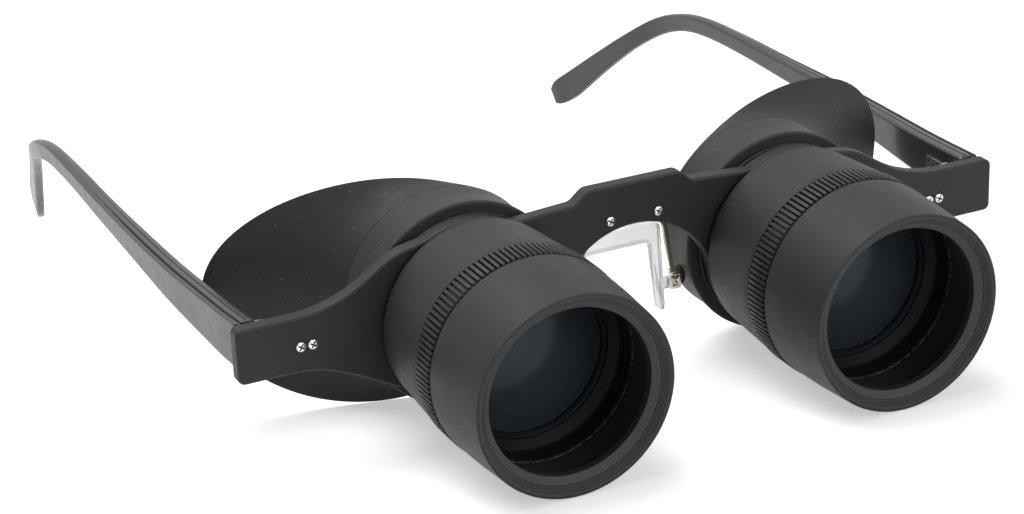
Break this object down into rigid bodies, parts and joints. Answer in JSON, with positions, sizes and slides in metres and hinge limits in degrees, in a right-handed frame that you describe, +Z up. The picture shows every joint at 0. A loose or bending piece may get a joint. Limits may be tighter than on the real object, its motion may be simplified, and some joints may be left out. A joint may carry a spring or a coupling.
{
  "type": "binocular glasses",
  "caption": "Spectacle frame carrying two short focusing telescopes, with winged eyecups, folding temples and a clear nose saddle.",
  "frame": {"origin": "middle of the bounding box in X and Y, at its lowest point in Z, which is the bottom of the temple tips", "axes": "front of the barrels faces -Y, +Z is up, +X is towards the right of someone who looks at the front"},
  "size_m": [0.1731, 0.2248, 0.0587],
  "materials": {
    "plate_plastic": "fine matte moulded face",
    "barrel_plastic": "soft matte",
    "ring_plastic": "matte, ribbed",
    "hood_plastic": "soft matte outside, gloss inside",
    "cell_plastic": "dull black",
    "eyepiece_plastic": "dull black",
    "temple_plastic": "satin",
    "eyecup_rubber": "soft matte rubber",
    "objective_glass": "dark blue-green coating",
    "eye_glass": "clear",
    "spring_steel": "dull",
    "hinge_nickel": "satin nickel plate",
    "arm_nickel": "satin nickel plate",
    "rivet_steel": "bright",
    "screw_steel": "bright",
    "key_brass": "as milled",
    "saddle_silicone": "clear, glossy"
  },
  "bodies": {
    "frame": {"frame_plate": "plate_plastic", "barrel_left": "barrel_plastic", "barrel_right": "barrel_plastic", "snap_ring_left": "spring_steel", "snap_ring_right": "spring_steel", "eyepiece_left": "eyepiece_plastic", "eyepiece_right": "eyepiece_plastic", "eye_lens_left": "eye_glass", "eye_lens_right": "eye_glass", "eye_lens_ring_left": "eyepiece_plastic", "eye_lens_ring_right": "eyepiece_plastic", "eyecup_left": "eyecup_rubber", "eyecup_right": "eyecup_rubber", "frame_leaf_left": "hinge_nickel", "frame_leaf_right": "hinge_nickel", "hinge_screw_left": "screw_steel", "hinge_screw_right": "screw_steel", "hinge_rivets_left": "rivet_steel", "hinge_rivets_right": "rivet_steel", "nose_arm_left": "arm_nickel", "nose_arm_right": "arm_nickel", "nose_rivets": "rivet_steel", "pad_screws": "screw_steel", "nose_saddle": "saddle_silicone"},
    "temple_left": {"temple_left": "temple_plastic", "temple_leaf_left": "hinge_nickel"},
    "temple_right": {"temple_right": "temple_plastic", "temple_leaf_right": "hinge_nickel"},
    "focus_left": {"focus_ring_left": "ring_plastic", "hood_left": "hood_plastic"},
    "cell_left": {"objective_cell_left": "cell_plastic", "objective_lens_left": "objective_glass", "objective_ring_left": "cell_plastic", "guide_key_left": "key_brass"},
    "focus_right": {"focus_ring_right": "ring_plastic", "hood_right": "hood_plastic"},
    "cell_right": {"objective_cell_right": "cell_plastic", "objective_lens_right": "objective_glass", "objective_ring_right": "cell_plastic", "guide_key_right": "key_brass"}
  },
  "joints": [
    {"name": "temple_left_hinge", "type": "hinge", "parent": "frame", "child": "temple_left", "pos_m": [-0.0786, -0.06225, 0.0369], "axis": [0, 0, -1], "range_deg": [0, 85], "deforming": ["eyecup_left"]},
    {"name": "temple_right_hinge", "type": "hinge", "parent": "frame", "child": "temple_right", "pos_m": [0.0786, -0.06225, 0.0369], "axis": [0, 0, 1], "range_deg": [0, 62], "deforming": ["eyecup_right"]},
    {"name": "focus_left_turn", "type": "hinge", "parent": "frame", "child": "focus_left", "pos_m": [-0.036, -0.09145, 0.0353], "axis": [0, -1, 0], "range_deg": [-150, 150]},
    {"name": "focus_left_travel", "type": "slide", "parent": "frame", "child": "cell_left", "axis": [0, -1, 0], "range_m": [-0.0012, 0.0012]},
    {"name": "focus_right_turn", "type": "hinge", "parent": "frame", "child": "focus_right", "pos_m": [0.036, -0.09145, 0.0353], "axis": [0, -1, 0], "range_deg": [-150, 150]},
    {"name": "focus_right_travel", "type": "slide", "parent": "frame", "child": "cell_right", "axis": [0, -1, 0], "range_m": [-0.0012, 0.0012]}
  ],
  "couplings": [
    {"joint": "focus_left_travel", "follows": "focus_left_turn", "m_per_rad": -0.000458},
    {"joint": "focus_right_travel", "follows": "focus_right_turn", "m_per_rad": -0.000458}
  ]
}
